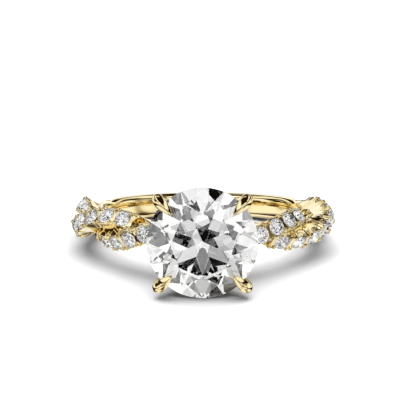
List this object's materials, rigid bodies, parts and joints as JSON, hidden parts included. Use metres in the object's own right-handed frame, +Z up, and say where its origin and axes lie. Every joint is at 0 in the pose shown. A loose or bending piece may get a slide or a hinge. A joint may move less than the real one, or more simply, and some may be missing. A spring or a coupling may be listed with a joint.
{
  "type": "twisted shank ring",
  "caption": "Gold finger ring with a round brilliant in four claws and stone-set strands that twist down both shoulders to a plain band.",
  "frame": {"origin": "on the surface that the ring lies on, under the middle of its box", "axes": "+Z up from that surface; +Y from the centre stone towards the plain rear band; +X across the finger hole"},
  "size_m": [0.0214, 0.0248, 0.008],
  "materials": {
    "yellow_gold": "polished",
    "diamond": "polished"
  },
  "bodies": {
    "root": {"mounting": "yellow_gold", "centre_stone": "diamond", "side_stone_01": "diamond", "side_stone_02": "diamond", "side_stone_03": "diamond", "side_stone_04": "diamond", "side_stone_05": "diamond", "side_stone_06": "diamond", "side_stone_07": "diamond", "side_stone_08": "diamond", "side_stone_09": "diamond", "side_stone_10": "diamond", "side_stone_11": "diamond", "side_stone_12": "diamond", "side_stone_13": "diamond", "side_stone_14": "diamond", "side_stone_15": "diamond", "side_stone_16": "diamond", "side_stone_17": "diamond", "side_stone_18": "diamond", "side_stone_19": "diamond", "side_stone_20": "diamond", "side_stone_21": "diamond", "side_stone_22": "diamond", "side_stone_23": "diamond", "side_stone_24": "diamond", "side_stone_25": "diamond", "side_stone_26": "diamond", "side_stone_27": "diamond", "side_stone_28": "diamond", "side_stone_29": "diamond", "side_stone_30": "diamond", "side_stone_31": "diamond", "side_stone_32": "diamond", "side_stone_33": "diamond", "side_stone_34": "diamond", "side_stone_35": "diamond", "side_stone_36": "diamond"}
  },
  "joints": []
}
